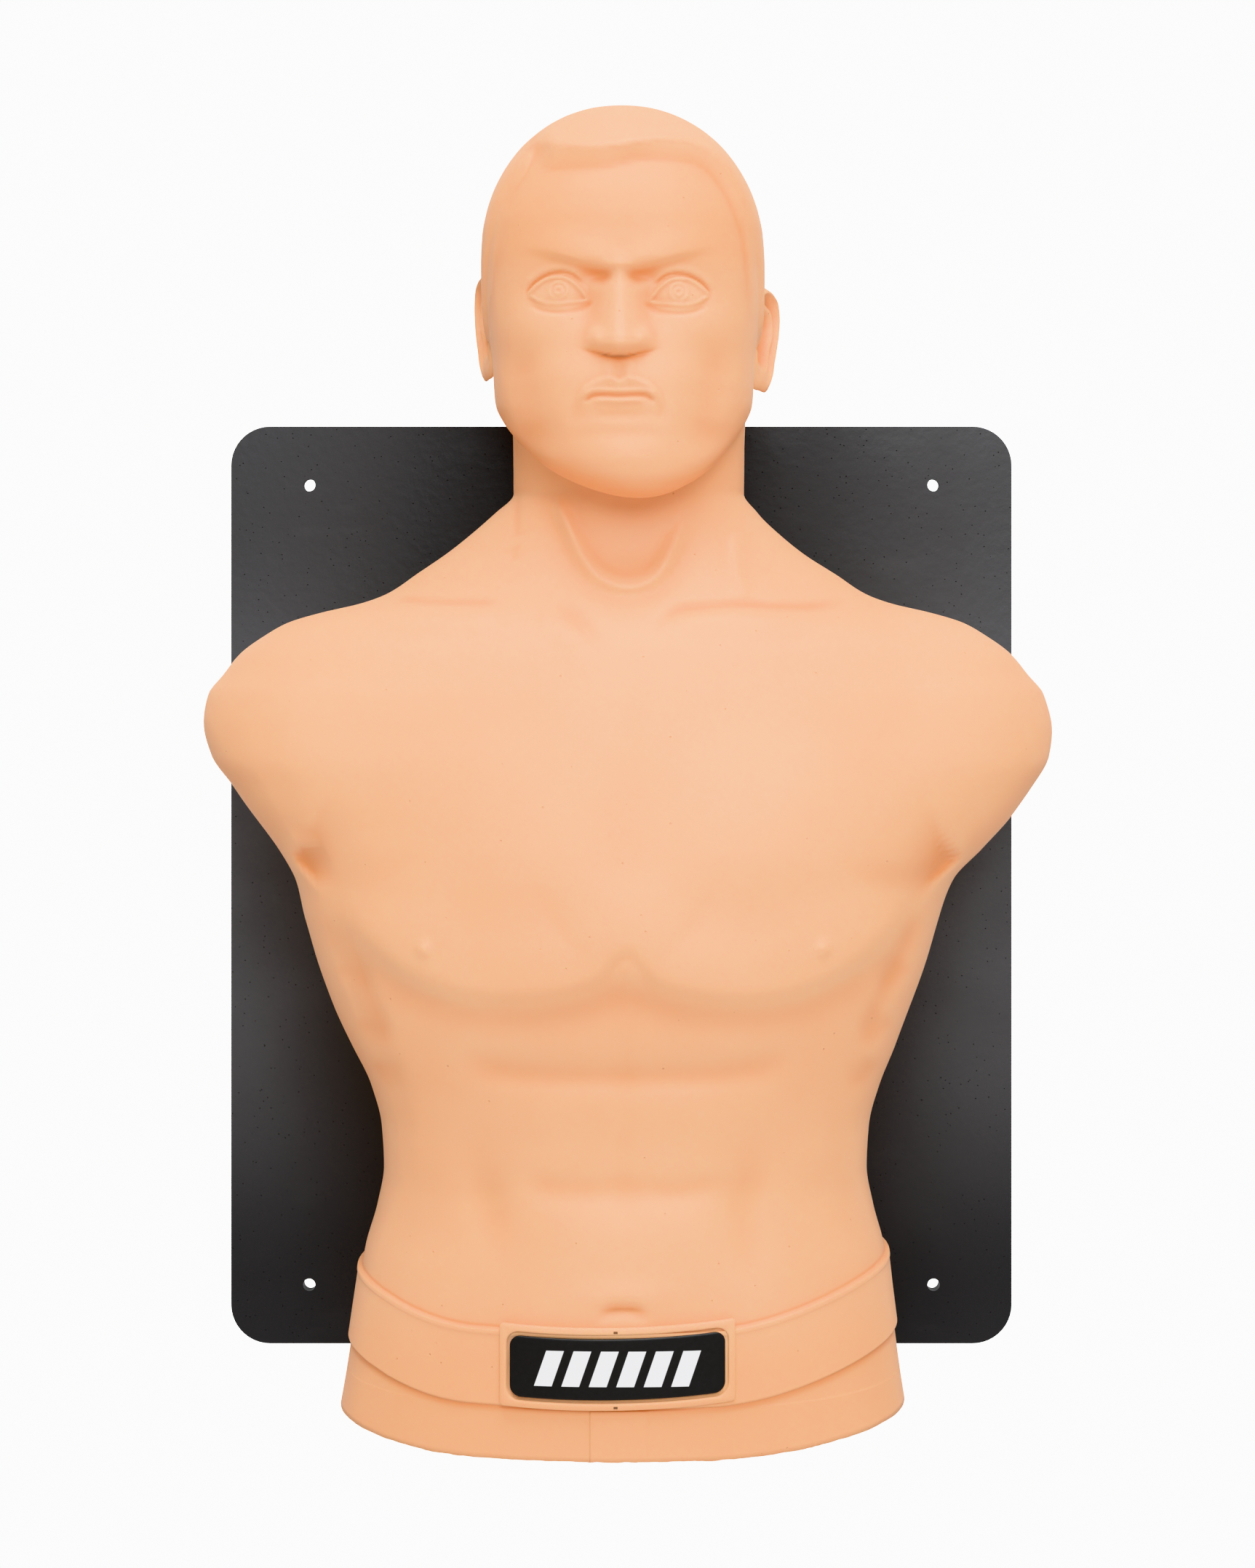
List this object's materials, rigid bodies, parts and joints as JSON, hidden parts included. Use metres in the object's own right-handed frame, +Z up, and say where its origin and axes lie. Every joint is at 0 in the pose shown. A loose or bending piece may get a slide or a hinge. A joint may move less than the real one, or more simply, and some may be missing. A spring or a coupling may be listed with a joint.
{
  "type": "body opponent mannequin",
  "caption": "Wall-mounted sparring mannequin: a soft foam-filled male torso with head and belt, screwed to a flat black wall board.",
  "frame": {"origin": "centre of the four wall holes, on the board's back face, which is the wall face", "axes": "+Z up, +Y into the wall, the mannequin faces -Y, +X to the right of someone facing it"},
  "size_m": [0.5119, 0.2465, 0.7905],
  "materials": {
    "board_plastic": "matt recycled plastic sheet, mottled and scuffed",
    "skin_plastisol": "soft matt skin-coloured plastisol",
    "foam": "open-cell urethane foam",
    "plywood": "raw plywood",
    "nut_steel": "zinc-plated",
    "screw_steel": "zinc-plated",
    "badge_plastic": "satin black moulded plate with a plain white printed motif",
    "tape": "thin foam tape"
  },
  "bodies": {
    "root": {"back_board": "board_plastic", "torso_skin": "skin_plastisol", "foam_core": "foam", "anchor_panel": "plywood", "t_nuts": "nut_steel", "board_screws": "screw_steel", "belt_badge": "badge_plastic", "badge_adhesive": "tape"}
  },
  "joints": []
}
